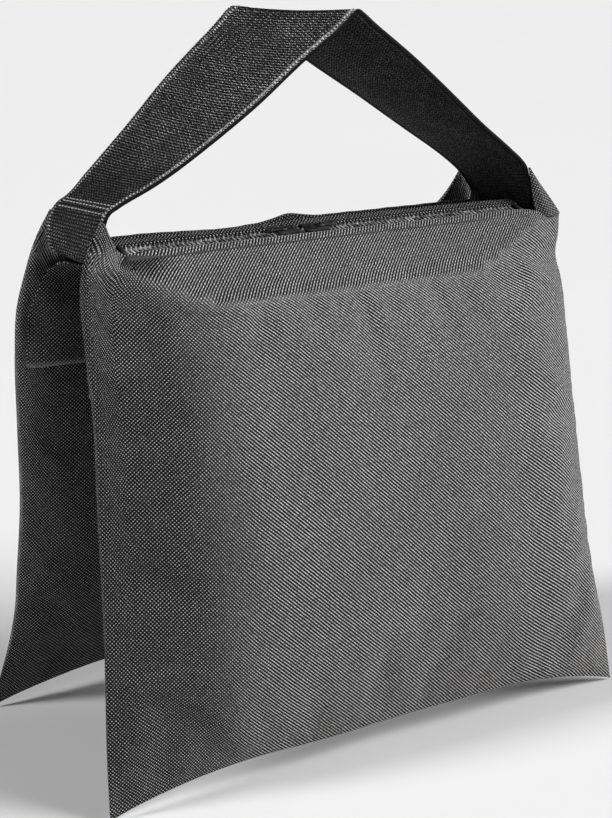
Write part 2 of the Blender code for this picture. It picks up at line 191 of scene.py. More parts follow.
class Graph:
    """Builds a material's nodes from arithmetic on sockets and numbers."""

    def __init__(self, name):
        self.material = bpy.data.materials.new(name)
        self.material.use_nodes = True
        self.tree = self.material.node_tree
        self.shader = self.tree.nodes["Principled BSDF"]

    def node(self, kind, **settings):
        made = self.tree.nodes.new(kind)
        for key, value in settings.items():
            setattr(made, key, value)
        return made

    def put(self, socket, value):
        if isinstance(value, bpy.types.NodeSocket):
            self.tree.links.new(value, socket)
        else:
            socket.default_value = value

    def math(self, operation, *values):
        made = self.node("ShaderNodeMath", operation=operation)
        for socket, value in zip(made.inputs, values):
            self.put(socket, value)
        return made.outputs[0]

    def add(self, a, b):
        return self.math("ADD", a, b)

    def mul(self, a, b):
        return self.math("MULTIPLY", a, b)

    def ramp(self, value, low, high, out_low=0.0, out_high=1.0):
        made = self.node("ShaderNodeMapRange", interpolation_type="SMOOTHSTEP")
        for socket, v in zip(made.inputs, (value, low, high, out_low, out_high)):
            self.put(socket, v)
        return made.outputs[0]

    def cloth(self):
        """Place in the flat fabric, in millimetres: across, along and a mask that lightens the colour near some
        edges, on the strap a painted highlight along the near selvage.
        """
        return self.attribute("cloth")

    def attribute(self, name):
        """The three numbers of a vector attribute."""
        attribute = self.node("ShaderNodeAttribute", attribute_name=name)
        split = self.node("ShaderNodeSeparateXYZ")
        self.put(split.inputs[0], attribute.outputs["Vector"])
        return split.outputs[0], split.outputs[1], split.outputs[2]

    def cells(self, place, scale):
        made = self.node("ShaderNodeTexVoronoi")
        self.put(made.inputs["Vector"], place)
        made.inputs["Scale"].default_value = scale
        return made.outputs

    def object_place(self):
        made = self.node("ShaderNodeTexCoord")
        return made.outputs["Object"]

    def noise(self, place, scale, detail=3.0, roughness=0.55):
        made = self.node("ShaderNodeTexNoise")
        self.put(made.inputs["Vector"], place)
        for key, value in (("Scale", scale), ("Detail", detail), ("Roughness", roughness)):
            made.inputs[key].default_value = value
        return made.outputs["Fac"]

    def mix(self, share, first, second):
        made = self.node("ShaderNodeMix", data_type="RGBA")
        self.put(made.inputs["Factor"], share)
        for socket, colour in ((made.inputs[6], first), (made.inputs[7], second)):
            self.put(socket, (*colour, 1.0) if isinstance(colour, tuple) else colour)
        return made.outputs[2]

    def finish(self, colour, roughness, height=None, strength=1.0, depth=0.0003, **fixed):
        self.put(self.shader.inputs["Base Color"], colour)
        self.put(self.shader.inputs["Roughness"], roughness)
        for key, value in fixed.items():
            self.shader.inputs[key.replace("_", " ")].default_value = value
        if height is not None:
            bump = self.node("ShaderNodeBump")
            bump.inputs["Strength"].default_value = strength
            bump.inputs["Distance"].default_value = depth
            self.put(bump.inputs["Height"], height)
            self.put(self.shader.inputs["Normal"], bump.outputs["Normal"])
        return self.material


def plain_weave(g, across, along, warp, weft):
    """(height, share of warp) of a plain weave with the given thread spacings in millimetres."""
    a = g.math("SINE", g.mul(across, pi / warp))
    b = g.math("SINE", g.mul(along, pi / weft))
    product = g.mul(a, b)
    height = g.math("POWER", g.math("ABSOLUTE", product), 0.6)
    return height, g.ramp(product, -0.25, 0.25)


def diagonal(g, across, along, warp, weft, hand, soft):
    """One of the two diagonal hatches of a plain weave, as narrow bright lines; soft fades it out."""
    phase = g.add(g.mul(across, pi / warp), g.mul(along, hand * pi / weft))
    line = g.ramp(g.math("COSINE", phase), -0.05, 0.95)
    return g.math("SUBTRACT", 1.0, g.mul(g.math("SUBTRACT", 1.0, line), g.math("SUBTRACT", 1.0, soft)))


def cloth_material(name, dark, light, warp=0.87, weft=0.87):
    """Plain woven cloth: bright crossings in two diagonal hatches, with deep gaps between."""
    g = Graph(name)
    across, along, edge_lightening = g.cloth()
    place = g.object_place()
    wander = g.noise(place, 60.0, 2.0)
    across = g.add(across, g.mul(wander, 0.5))
    along = g.add(along, g.mul(wander, 0.4))
    # the per-point hatch softening also carries painted shade: low values darken the cloth
    soft_first, soft_second, _ = g.attribute("hatch_and_shade")
    first = diagonal(g, across, along, warp, weft, 1.0, soft_first)
    second = diagonal(g, across, along, warp, weft, -1.0, soft_second)
    thread = g.mul(first, second)
    slub = g.noise(place, 1100.0, 2.0, 0.7)
    blotch = g.noise(place, 22.0, 4.0)
    share = g.mul(thread, g.ramp(slub, 0.30, 0.70, 0.45, 1.20))
    share = g.mul(share, g.ramp(blotch, 0.3, 0.7, 0.86, 1.0))
    colour = g.mix(share, dark, light)
    # lightens the colour where the edge mask is set
    colour = g.mix(g.mul(edge_lightening, 0.30), colour, light)
    roughness = g.ramp(share, 0.0, 1.0, 0.85, 0.60)
    return g.finish(colour, roughness, thread, 0.50, 0.00030,
                    Specular_IOR_Level=0.14, Sheen_Weight=0.03, Sheen_Roughness=0.5)


def webbing_material(name, dark, light, rib=1.6):
    """Heavy black webbing: cross ribs broken into a herringbone of small bright dashes, painted glints on the rib
    crests.
    """
    g = Graph(name)
    across, along, edge_lightening = g.cloth()
    place = g.object_place()
    column = g.math("PINGPONG", across, 1.15)
    along = g.add(along, g.mul(g.noise(place, 80.0, 2.0), 0.7))
    slope = g.math("SINE", g.mul(g.add(along, g.mul(column, 0.9)), 2 * pi / rib))
    yarn = g.math("ABSOLUTE", g.math("SINE", g.mul(across, pi / 1.15)))
    dash = g.mul(g.ramp(slope, -0.10, 0.80), g.ramp(yarn, 0.22, 0.75))
    fuzz = g.noise(place, 900.0, 3.0, 0.7)
    patch = g.noise(place, 70.0, 3.0)
    share = g.mul(dash, g.ramp(fuzz, 0.36, 0.62, 0.06, 1.0))
    share = g.mul(share, g.ramp(patch, 0.35, 0.65, 0.65, 1.0))
    colour = g.mix(share, dark, light)
    # painted highlight along the selvage: dotted light grey mixed in where the edge mask is set
    dotted = g.ramp(g.math("SINE", g.mul(along, 2 * pi / 1.7)), -0.6, 0.6, 0.25, 1.0)
    colour = g.mix(g.mul(edge_lightening, g.mul(dotted, g.ramp(fuzz, 0.35, 0.6, 0.4, 1.0))), colour, grey(0.75))
    height = g.add(g.mul(dash, 0.7), g.mul(fuzz, 0.2))
    return g.finish(colour, g.ramp(share, 0.0, 1.0, 0.75, 0.40), height, 0.9, 0.00045,
                    Specular_IOR_Level=0.16)


def thread_material(name, dark, light):
    g = Graph(name)
    place = g.object_place()
    twist = g.node("ShaderNodeTexWave", wave_type="BANDS", bands_direction="DIAGONAL")
    g.put(twist.inputs["Vector"], place)
    twist.inputs["Scale"].default_value = 420.0
    twist.inputs["Distortion"].default_value = 1.5
    share = g.mul(twist.outputs["Fac"], g.ramp(g.noise(place, 600.0), 0.3, 0.7, 0.6, 1.0))
    return g.finish(g.mix(share, dark, light), g.ramp(share, 0.0, 1.0, 0.6, 0.4), share, 0.5, 0.0001)


def moulded_material(name, dark, light, roughness=(0.38, 0.55), metallic=0.0):
    g = Graph(name)
    place = g.object_place()
    # scuffs, and on the coil painted glints: the bright colour mixed in by this noise
    scuff_and_glint = g.noise(place, 350.0, 5.0, 0.65)
    cloud = g.noise(place, 60.0, 3.0)
    share = g.mul(g.ramp(scuff_and_glint, 0.35, 0.7), g.ramp(cloud, 0.3, 0.7, 0.5, 1.0))
    return g.finish(g.mix(share, dark, light), g.ramp(scuff_and_glint, 0.3, 0.7, *roughness), scuff_and_glint, 0.25, 0.00008,
                    Metallic=metallic)


def tape_material(name, dark, light):
    """Woven zip tape: fine ribs along its length."""
    g = Graph(name)
    across, along, _ = g.cloth()
    height, warp_share = plain_weave(g, across, along, 0.55, 0.8)
    share = g.mul(warp_share, g.ramp(g.noise(g.object_place(), 700.0, 2.0), 0.3, 0.7, 0.6, 1.0))
    return g.finish(g.mix(share, dark, light), 0.8, height, 0.5, 0.0002)


def film_material(name):
    g = Graph(name)
    place = g.object_place()
    cloud = g.noise(place, 45.0, 5.0)
    fine = g.noise(place, 400.0, 4.0)
    return g.finish(g.mix(cloud, (0.20, 0.20, 0.21), (0.34, 0.34, 0.35)), g.ramp(fine, 0.3, 0.7, 0.3, 0.5),
                    cloud, 0.6, 0.001)


def hook_material(name):
    g = Graph(name)
    place = g.object_place()
    height = g.ramp(g.cells(place, 900.0)["Distance"], 0.0, 0.6, 1.0, 0.0)
    return g.finish(g.mix(height, grey(0.008), (0.06, 0.06, 0.062)), 0.75, height, 0.8, 0.0004)


def sand_material(name):
    g = Graph(name)
    place = g.object_place()
    grains = g.cells(place, 1100.0)
    split = g.node("ShaderNodeSeparateColor")
    g.put(split.inputs[0], grains["Color"])
    tone = g.mul(split.outputs[0], g.ramp(g.noise(place, 50.0), 0.3, 0.7, 0.75, 1.0))
    height = g.ramp(grains["Distance"], 0.0, 0.7, 1.0, 0.0)
    return g.finish(g.mix(tone, (0.28, 0.20, 0.12), (0.78, 0.66, 0.46)), 0.85, height, 0.9, 0.0005)


def floor_material():
    g = Graph("floor")
    place = g.object_place()
    cloud = g.noise(place, 2.5, 3.0)
    return g.finish(g.mix(cloud, grey(0.70), grey(0.715)), 0.8)


CLOTH = cloth_material("oxford_cloth", grey(0.0015), grey(0.60))
# lit and shaded copies of the webbing: the bright one carries painted glints for the lit face, the dim one is
# painted shade for the strap's underside
WEBBING_LIT_COPY = webbing_material("webbing", grey(0.0010), grey(1.0))
WEBBING_SHADED_COPY = webbing_material("webbing_painted_shade", grey(0.0006), grey(0.10))
TAPE = tape_material("zip_tape", grey(0.012), (0.060, 0.060, 0.061))
# the black coil's bright end is painted glints on its loops
COIL = moulded_material("zip_coil", grey(0.050), grey(0.70), (0.25, 0.45))
METAL = moulded_material("zip_metal", grey(0.010), (0.060, 0.060, 0.062), (0.38, 0.55), 0.15)
THREAD = thread_material("thread", grey(0.004), grey(0.030))
# brighter copy of the thread, a painted highlight for the tack rows on the strap's crease
THREAD_PAINTED_HIGHLIGHT = thread_material("thread_painted_highlight", grey(0.08), grey(0.75))
FILM = film_material("liner_film")
HOOKS = hook_material("hook_strip")
SAND = sand_material("sand")


FLOOR_HALF = 9000.0
HORIZON, SKY = 0.72, 0.08   # strength of the white world low down and overhead
FADE = (0.02, 0.30)         # heights of the view direction between which it changes
# Far lights: bearing, height and spread in degrees, then strength
SUNS = {"key": (52.0, 33.0, 38.0, 4.05), "side": (-100.0, 48.0, 16.0, 1.9)}


def flat_ground():
    far = FLOOR_HALF
    points = [(-far, -far, 0), (far, -far, 0), (far, far, 0), (-far, far, 0)]
    floor = mesh_piece("floor", points, [(0, 1, 2, 3)], floor_material())
    floor.location.z = -0.0002


def sun(name, bearing, height, spread, strength):
    """A soft far light; the bearing is measured from the bag's front towards its right."""
    data = bpy.data.lights.new(name, "SUN")
    data.energy = strength
    data.angle = radians(spread)
    obj = link(bpy.data.objects.new(name, data))
    bearing, height = radians(bearing), radians(height)
    towards = Vector((sin(bearing) * cos(height), -cos(bearing) * cos(height), sin(height)))
    obj.rotation_euler = towards.to_track_quat("Z", "Y").to_euler()


def build_stage():
    """Pale floor and horizon, a dimmer sky above, a soft key from the right and a weak light from the left."""
    flat_ground()
    world = bpy.data.worlds.new("studio")
    world.use_nodes = True
    tree = world.node_tree
    place = tree.nodes.new("ShaderNodeTexCoord")
    split = tree.nodes.new("ShaderNodeSeparateXYZ")
    fade = tree.nodes.new("ShaderNodeMapRange")
    tree.links.new(place.outputs["Generated"], split.inputs[0])
    tree.links.new(split.outputs[2], fade.inputs[0])
    for socket, value in zip(list(fade.inputs)[1:5], (*FADE, HORIZON, SKY)):
        socket.default_value = value
    tree.nodes["Background"].inputs["Color"].default_value = (1.0, 1.0, 1.0, 1.0)
    tree.links.new(fade.outputs[0], tree.nodes["Background"].inputs["Strength"])
    bpy.context.scene.world = world
    for name, settings in SUNS.items():
        sun(name, *settings)


build_stage()

# ---------------------------------------------------------------- pouch shape, in millimetres

SWING_Y, SWING_Z, FOOT_Y = 30.0, 238.2, 69.0
CHORD = np.array([0.0, SWING_Y - FOOT_Y, -SWING_Z])
CHORD = CHORD / np.linalg.norm(CHORD)
OUTWARD = np.array([0.0, CHORD[2], -CHORD[1]])   # square to the chord, away from the bag's middle

EDGE_SHARES = (1.0, 0.9962, 0.990, 0.981, 0.967)
COLUMNS = 63
ROWS = 54

# Each seam runs from the bottom corner up: height above the floor and distance from the bag's middle
SEAMS = {
    ("front", "left"): (
        (0, -143.8), (28, -142.0), (72, -138.0), (138, -134.0), (172, -131.8), (204, -131.4),
        (222, -130.3), (236, -128.4), (244, -126.0), (252, -122.0), (255.5, -119.4)),
    ("front", "right"): (
        (0, 144.0), (30, 140.8), (63, 134.8), (110, 130.8), (150, 129.4), (185, 128.8),
        (208, 127.8), (220, 125.6), (229, 128.6), (238.7, 130.0)),
    ("rear", "left"): (
        (0, -144.0), (30, -140.8), (72, -137.0), (138, -133.5), (185, -131.5), (215, -129.5),
        (232, -126.0), (245, -121.0), (255.0, -114.5)),
    ("rear", "right"): (
        (0, 139.5), (3, 139.8), (12, 137.6), (30, 132.8), (50, 129.2), (72, 128.4),
        (106, 127.6), (150, 130.2), (185, 132.4), (210, 132.0), (224, 129.0), (240, 124.5),
        (253.5, 117.2)),
}
# Top edge of the outer panel beyond the hem: share across, then place
TOPS = {
    ("front", "left"): (
        (-1.0, -119.4, -27.4, 255.5), (-0.985, -117.2, -27.5, 254.6), (-0.96, -115.2, -28.6, 249.0),
        (-0.93, -112.6, -31.0, 241.0), (-0.89, -108.0, -32.3, 239.2), (-0.84, -102.0, -32.6, 239.6)),
    ("front", "right"): (
        (0.82, 104.0, -32.6, 239.5), (0.88, 113.0, -32.0, 238.6), (0.93, 120.5, -31.2, 236.2),
        (0.965, 126.0, -30.8, 235.6), (0.985, 129.0, -30.4, 237.2), (1.0, 130.0, -30.2, 238.7)),
    ("rear", "left"): (
        (-1.0, -113.5, -26.8, 255.5), (-0.985, -111.6, -27.0, 254.4), (-0.96, -107.5, -28.2, 247.0),
        (-0.93, -102.5, -30.6, 239.0), (-0.89, -97.0, -32.0, 234.6), (-0.84, -91.0, -32.6, 233.6)),
    ("rear", "right"): (
        (0.84, 98.0, -32.6, 233.6), (0.89, 104.5, -32.0, 235.0), (0.93, 109.0, -30.6, 239.5),
        (0.96, 113.0, -28.4, 246.5), (0.985, 115.8, -27.4, 252.4), (1.0, 117.2, -27.2, 253.5)),
}
PANEL_LENGTH = 241.0
HEM_Z = {"front": 239.6, "rear": 233.6}
HEM_LOFT = {"front": 1.0, "rear": 0.6}
# The hem's section, from the outer panel's top edge over the fold and down to the inner panel's
HEM_SECTION = ((0.5, 0.9), (1.1, 1.6), (1.9, 2.1), (2.8, 2.35), (3.6, 2.1), (4.0, 1.4), (4.0, 0.2))
BELLY = {"outer": 26.5, "inner": 17.5}
# Fullness of the panels by distance below the top edge
OUTER_SECTION = ((0, 0.0), (5, 0.10), (14, 0.29), (26, 0.51), (36, 0.62), (50, 0.70), (80, 0.86), (118, 1.0),
                 (155, 0.97), (190, 0.78), (212, 0.52), (228, 0.26), (236, 0.11), (241, 0.0))
INNER_SECTION = ((0, 0.0), (12, 0.12), (30, 0.28), (60, 0.55), (110, 0.95), (140, 1.0), (180, 0.84), (210, 0.52),
                 (228, 0.24), (236, 0.10), (241, 0.0))
# Depth of the pouch's side edge, where the strap's fold holds it open
SIDE_DEPTH = ((0, 0.0), (10, 2.2), (22, 6.5), (45, 6.0), (75, 4.0), (120, 2.4), (200, 1.2), (230, 0.4),
              (241, 0.0))


def column_shares():
    inner = np.linspace(-0.945, 0.945, COLUMNS)
    edge = np.array(EDGE_SHARES)
    return np.concatenate([-edge, inner, edge[::-1]])


def row_shares():
    """From the bottom seam, 0, to the top edge, 1."""
    low = np.array([0.0, 0.0022, 0.0055, 0.0105, 0.018])
    high = np.array([0.948, 0.956, 0.963, 0.9695, 0.9755, 0.981, 0.9865, 0.9915, 0.996, 1.0])
    return np.concatenate([low, np.linspace(0.030, 0.939, ROWS), high])


def chord_y(z):
    return -SWING_Y - (FOOT_Y - SWING_Y) * (SWING_Z - z) / SWING_Z


def seam_line(side, end, shares):
    knots = np.array(SEAMS[side, end], float)
    z = shares * knots[-1, 0]
    x = spline(knots[:, 0], knots[:, 1], z)
    top = TOPS[side, end][0 if end == "left" else -1]
    y = chord_y(z) + (top[2] - chord_y(top[3])) * shares**6
    return np.stack([x, y, z], axis=1)


def top_line(side, shares, inner):
    """The top edge of the outer panel, or of the inner panel behind it."""
    left, right = np.array(TOPS[side, "left"], float), np.array(TOPS[side, "right"], float)
    hem = HEM_Z[side]
    middle = [(u, left[-1, 1] + (right[0, 1] - left[-1, 1]) * (u - left[-1, 0]) / (right[0, 0] - left[-1, 0]),
               -SWING_Y - 2.6, hem) for u in np.linspace(left[-1, 0], right[0, 0], 9)[1:-1]]
    knots = np.vstack([left, middle, right])
    line = spline(knots[:, 0], knots[:, 1:], shares)
    if inner:
        depth = np.clip((1 - np.abs(shares) - 0.035) / 0.075, 0.0, 1.0)
        line[:, 1] += 1.0 * np.minimum(1.0, (1 - np.abs(shares)) / 0.02) + 3.2 * depth
        line[:, 2] -= 4.5 * depth
    return line


def bottom_line(side, shares):
    left, right = SEAMS[side, "left"][0][1], SEAMS[side, "right"][0][1]
    x = left + (right - left) * (shares + 1) / 2
    lift = 11.0 * (1 - shares**4) + 1.5 * bell(shares, 0.55, 0.22) - 0.7 * bell(shares, -0.1, 0.3)
    wave = 0.8 * np.sin(shares * 9.0 + 0.6) * (1 - shares**2)
    return np.stack([x, -FOOT_Y + 1.5 * (1 - shares**2) + wave, lift], axis=1)


def panel(side, inner):
    """Grid of points of a panel, the first row at the bottom seam."""
    u, v = column_shares(), row_shares()
    bottom, top = bottom_line(side, u), top_line(side, u, inner)
    left, right = seam_line(side, "left", v), seam_line(side, "right", v)
    s = ((u + 1) / 2)[None, :, None]
    t = v[:, None, None]
    base = (1 - t) * bottom[None] + t * top[None] + (1 - s) * left[:, None] + s * right[:, None] \
        - (1 - s) * (1 - t) * bottom[0] - s * (1 - t) * bottom[-1] \
        - (1 - s) * t * left[-1] - s * t * right[-1]
    below = (1 - v) * PANEL_LENGTH
    across = np.where(u < 0, np.clip(1 - np.abs(u) ** 3.4, 0, 1) ** 0.85,
                      np.clip(1 - np.abs(u) ** 6.0, 0, 1) ** 0.75)
    if inner:
        side_depth = spline(*np.array(SIDE_DEPTH).T, below)[:, None]
        edge = np.clip(1 - np.abs(u) ** 26, 0, 1) ** 0.5
        full = spline(*np.array(INNER_SECTION).T, below)[:, None] * BELLY["inner"]
        out = side_depth * edge + np.maximum(full - side_depth, 0) * across
        base = base - out[:, :, None] * OUTWARD
        flare = 2.2 * bell(below, 24, 22)[:, None] * bell(np.abs(u), 0.985, 0.012) * np.sign(u)
        base[:, :, 0] += flare
    else:
        full = spline(*np.array(OUTER_SECTION).T, below)[:, None] * BELLY["outer"]
        out = full * across
        base = base + out[:, :, None] * OUTWARD
        base = base + outer_details(side, base, below)[:, :, None] * OUTWARD
    return base


def outer_details(side, base, below):
    """Folds of the outer panel, as heights above the plain belly."""
    x, z = base[:, :, 0], base[:, :, 2]
    depth = below[:, None] + 0 * x
    ridge_depth = 29 - 20 * np.abs(x / 116) ** 3
    ridge = 1.3 * bell(depth, ridge_depth, 8) * (1 - np.abs(x / 135) ** 6).clip(0, 1)
    folds = ridge
    if side == "front":
        folds = folds - 7.5 * bell(x, -104, 9.5) * bell(z, 235, 4.6)
        slant = bell((x + 112) * 0.75 + (z - 232) * 0.66, 0, 3.4)
        folds = folds + 1.8 * slant * bell(x, -108, 16) * bell(z, 231, 13)
        folds = folds - 0.8 * bell(z - 72 - 0.03 * x, 0, 5.0) * (1 - (x / 140) ** 4).clip(0, 1)
        folds = folds - 0.9 * bell(x + 66 + 0.1 * (z - 60), 0, 13) * bell(z, 55, 45)
        folds = folds + 1.0 * bell(x - 123, 0, 5.0) * bell(z, 58, 30)
    return folds


def crease_in(grid, depth=1.1):
    """Draws the outermost rows and columns into the seams, so that the panels roll over their edges."""
    u, v = np.abs(column_shares()), row_shares()
    roll = np.where(u > 0.999, 1.0, 0.0)
    near_strap = 1.0 + 0.9 * bell(v, 0.86, 0.10) * (v < 0.97)
    grid[:, :, 0] -= np.sign(column_shares()) * depth * roll[None] \
        * (near_strap * np.minimum(1.0, (1 - v) / 0.05))[:, None]
    grid[:, :, 2] += np.where(v == 0.0, depth * 0.8, 0.0)[:, None] * (1 - u**30)[None]
    return grid


def pouch_shell(side):
    """A pouch as one closed shell: outer panel, hem and inner panel, joined along the seams."""
    u = column_shares()
    outer, inner = panel(side, False), panel(side, True)
    outer, inner = crease_in(outer), crease_in(inner)
    top = outer[-1]
    room = np.minimum(1.0, (1 - np.abs(u)) / 0.085)
    shrink = np.minimum(1.0, 0.12 + 0.88 * room) * np.minimum(1.0, (1 - np.abs(u)) / 0.004)
    hem = []
    for dy, dz in HEM_SECTION:
        row = top.copy()
        row[:, 1] += dy * shrink * (1 - 0.45 * (1 - room))
        row[:, 2] += dz * shrink * HEM_LOFT[side]
        hem.append(row)
    loop = np.concatenate([outer, np.array(hem), inner[::-1]], axis=0)
    loop[:, :, :2] *= -SIDE_SIGN[side]   # the rear pouch is turned half a turn
    places = flat_places(loop)
    count = len(row_shares())
    middle_row = count + len(HEM_SECTION) // 2
    centre = loop.shape[1] // 2
    lengths = places[:, centre, 1] - places[middle_row, centre, 1]
    heights = loop[:, centre, 2]
    for part, order in ((slice(0, count), 1), (slice(loop.shape[0] - count, None), -1)):
        level = np.interp(loop[part, :, 2], heights[part][::order], lengths[part][::order])
        over = np.maximum(0.0, loop[part, :, 2] - heights[part].max())
        under = np.maximum(0.0, heights[part].min() - loop[part, :, 2])
        places[part, :, 1] = level + order * (over - under)
    places[count:-count, :, 1] -= places[middle_row, :, 1][None]
    return loop, places, grid_faces(*loop.shape[:2])


def step(x, start, end):
    t = np.clip((np.asarray(x, float) - start) / (end - start), 0.0, 1.0)
    return t * t * (3 - 2 * t)


def hatching(places):
    """How the weave reads on each facet: steep ribs above the fold, fine diagonals on the rest; fainter hatches
    on the left of the outer panel and on the inner panel darken them as painted shade.
    """
    across, down = places[:, :, 0], -places[:, :, 1]
    fold = 31.0 - 22.0 * step(np.abs(across), 68.0, 120.0)
    above = (1 - step(down, fold - 3.0, fold + 3.0)) * step(down, -2.0, 2.0)
    stretched = places.copy()
    stretched[:, :, 0] -= 0.054 * places[:, :, 1]
    stretched[:, :, 1] -= 0.077 * places[:, :, 0]
    stretched[:, :, 1] -= np.where(down > 0, -0.41 * np.minimum(down, fold), 0.0)
    # painted shade: the left end of the outer panel gets fainter hatches, so it reads darker
    left = 1 - step(across, -100.0, -52.0)
    # painted shade: the inner panel gets the faintest hatches
    inner = step(-down, 3.0, 5.0)
    soft_first = 0.90 * above + (1 - above) * (0.70 * (1 - left) + 0.04 * left) * (1 - inner) + 0.03 * inner
    soft_second = (1 - above) * 0.03 * left * (1 - inner) + 0.03 * inner
    second, first = np.where(above > 0.5, 0.0, soft_first), np.where(above > 0.5, 0.45, soft_second)
    return stretched, np.stack([first, second, 0 * first], axis=2)


def settle(obj, loop, frames=20, limit=4.0):
    """Lets the cloth fill out under pressure between its fixed seams, by at most limit millimetres."""
    shares = np.abs(column_shares())
    count = len(row_shares())
    rows = np.ones(loop.shape[0])
    rows[:count] = 1 - step(1 - row_shares(), 0.02, 0.16) * step(row_shares(), 0.004, 0.03)
    rows[-count:] = rows[:count][::-1]
    hold = np.maximum(step(shares, 0.955, 0.99)[None], rows[:, None])
    finder = KDTree(loop.shape[0] * loop.shape[1])
    for i, point in enumerate(loop.reshape(-1, 3)):
        finder.insert(point * MM, i)
    finder.balance()
    weights = hold.ravel()[[finder.find(v.co)[1] for v in obj.data.vertices]]
    group = obj.vertex_groups.new(name="hold")
    for index, weight in enumerate(weights):
        group.add([index], float(min(1.0, weight)), "REPLACE")
    rest = np.array([v.co for v in obj.data.vertices])
    modifier = obj.modifiers.new("Cloth", "CLOTH")
    settings = modifier.settings
    settings.quality = 6
    settings.mass = 0.25
    settings.tension_stiffness = settings.compression_stiffness = 22.0
    settings.shear_stiffness = 9.0
    settings.bending_stiffness = 1.2
    settings.shrink_min = -0.018
    settings.use_pressure = True
    settings.uniform_pressure_force = 4.0
    settings.vertex_group_mass = "hold"
    settings.effector_weights.gravity = 0.0
    modifier.collision_settings.use_collision = False
    modifier.point_cache.frame_start, modifier.point_cache.frame_end = 1, frames
    for frame_number in range(1, frames + 1):
        bpy.context.scene.frame_set(frame_number)
    graph = bpy.context.evaluated_depsgraph_get()
    moved = np.array([v.co for v in obj.evaluated_get(graph).data.vertices]) - rest
    size = np.linalg.norm(moved, axis=1)
    share = np.where(size > 1e-9, np.tanh(size / (limit * MM)) * limit * MM / np.maximum(size, 1e-9), 0.0)
    obj.modifiers.remove(modifier)
    obj.vertex_groups.clear()
    obj.data.vertices.foreach_set("co", (rest + moved * share[:, None]).ravel())
    obj.data.update()
    bpy.context.scene.frame_set(1)


def make_pouch(side):
    loop, places, faces = pouch_shell(side)
    name = side + "_pouch_cloth"
    places, hatch_and_shade = hatching(places)
    obj = mesh_piece(name, loop, faces, CLOTH, places, merge=0.02, hatch_and_shade=hatch_and_shade)
    settle(obj, loop)
    face_outwards(obj)
    return obj


POUCHES = {side: make_pouch(side) for side in SIDES}
for side, pouch in POUCHES.items():
    subdivide(pouch)
    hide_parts(side + "_outer_panel", side + "_inner_panel", side + "_left_corner",
                side + "_right_corner")
    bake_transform(pouch)

# ---------------------------------------------------------------- webbing

# Stations of the strap from the middle of the saddle round the left end, over the handle and back:
# place of the near edge and of the far edge, each as distance along the bag and height
STRAP_STATIONS = (
    ((0, 232.2), (0, 232.2)), ((-50, 232.2), (-50, 232.2)), ((-98, 232.2), (-98, 232.2)),
    ((-107, 232.3), (-107, 232.3)), ((-112.5, 233.3), (-112.8, 233.2)), ((-116.4, 236.2), (-117.0, 236.0)),
    ((-118.2, 240.5), (-119.0, 240.3)), ((-118.2, 246), (-119.4, 245.6)), ((-116.9, 252.6), (-118.6, 251.2)),
    ((-115.4, 256.9), (-116.6, 254.7)), ((-113.6, 259.2), (-114.6, 256.9)), ((-109.4, 261.6), (-110.4, 259.4)),
    ((-93.6, 268.7), (-100.6, 268.7)), ((-71.4, 280.9), (-83, 285.2)), ((-41.5, 300.2), (-63, 305.2)),
    ((-14.5, 319.8), (-43, 323.2)), ((6.5, 334.4), (-29.8, 334.8)), ((10.6, 337.9), (-26.4, 338.2)),
    ((13.9, 339.9), (-22.9, 340.1)), ((17.4, 337.9), (-19.3, 338.4)), ((21.8, 334.4), (-14.4, 335.3)),
    ((34.7, 324.8), (0, 326.2)), ((50.2, 313.2), (22, 312.0)), ((72, 295.4), (50.6, 294.6)),
    ((87.2, 283.2), (76, 278.2)), ((103.5, 270.6), (99, 263.4)), ((110.4, 265.0), (106.0, 258.2)),
    ((113.2, 261.8), (109.8, 254.9)), ((114.6, 258.2), (112.6, 251.6)), ((117.2, 250.5), (116.2, 246.6)),
    ((118.4, 244), (118.2, 242)), ((117.8, 238.8), (117.8, 238.2)), ((115.2, 235.0), (115.2, 234.8)),
    ((110.8, 232.8), (110.8, 232.8)), ((104, 232.2), (104, 232.2)), ((50, 232.2), (50, 232.2)),
    ((0, 232.2), (0, 232.2)))
STRAP_HALF = 25.0
RIB_PITCH = 1.6
HANDLE_BLEND = {"start": (0.0, 0.0, 0.250), "end": (0.0, 0.0, 0.276)}
STRAP_STEP = 0.4
STRAP_ACROSS = (0.0, 0.35, 0.9, 1.45, 1.75, 2.15, 2.5, 3.0, 4.5, 6.5, 9.0, 12.0, 15.5, 19.0, 22.0, 25.0)


